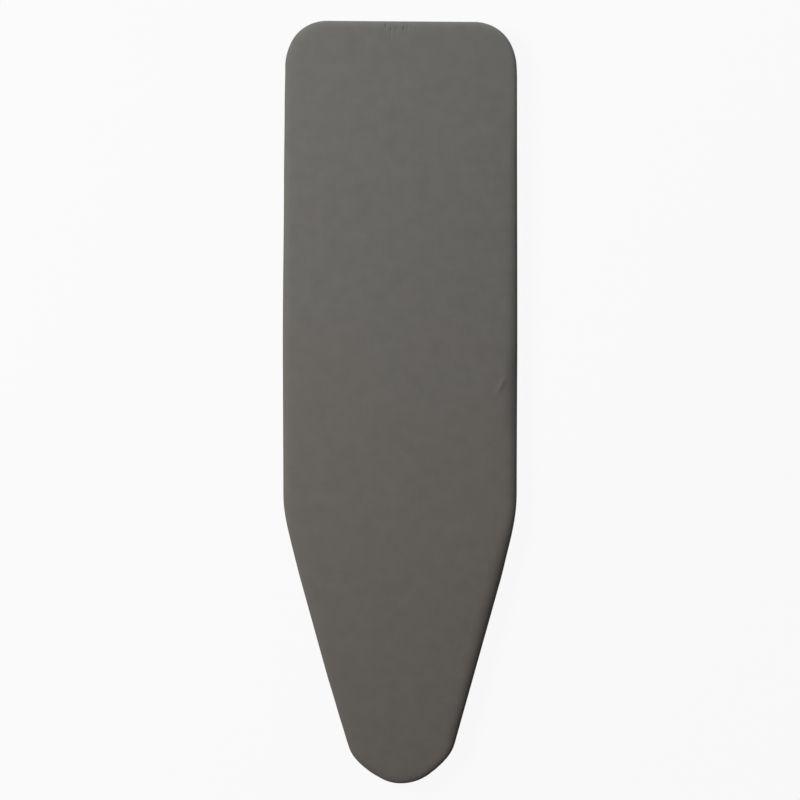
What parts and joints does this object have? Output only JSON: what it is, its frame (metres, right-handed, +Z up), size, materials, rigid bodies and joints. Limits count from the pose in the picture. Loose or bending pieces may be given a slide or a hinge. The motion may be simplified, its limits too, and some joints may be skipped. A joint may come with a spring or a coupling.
{
  "type": "ironing board cover",
  "caption": "Fitted padded ironing board cover: coated dark grey cotton over foam and felt, square tail and tapered nose, with an elasticated bound hem that grips under the board.",
  "frame": {"origin": "below the middle of the cover, on the surface that its hem lies on", "axes": "+Z up out of the ironing face, +Y along the length towards the square tail, -Y towards the nose, X across"},
  "size_m": [0.38, 1.24, 0.0387],
  "materials": {
    "coated_cotton": "matt heat coating on a plain weave",
    "foam": "open cell, matt",
    "felt": "needled fibre, matt",
    "binding_tape": "plain woven tape, matt",
    "elastic": "braided cover, matt",
    "sleeve_metal": "bare pressed metal",
    "seam_thread": "twisted polyester thread"
  },
  "bodies": {
    "root": {"face_fabric": "coated_cotton", "foam_pad": "foam", "felt_underlay": "felt", "hem_binding": "binding_tape", "hem_elastic": "elastic", "elastic_joiner": "sleeve_metal", "hem_needle_thread": "seam_thread", "hem_bobbin_thread": "seam_thread"}
  },
  "joints": []
}
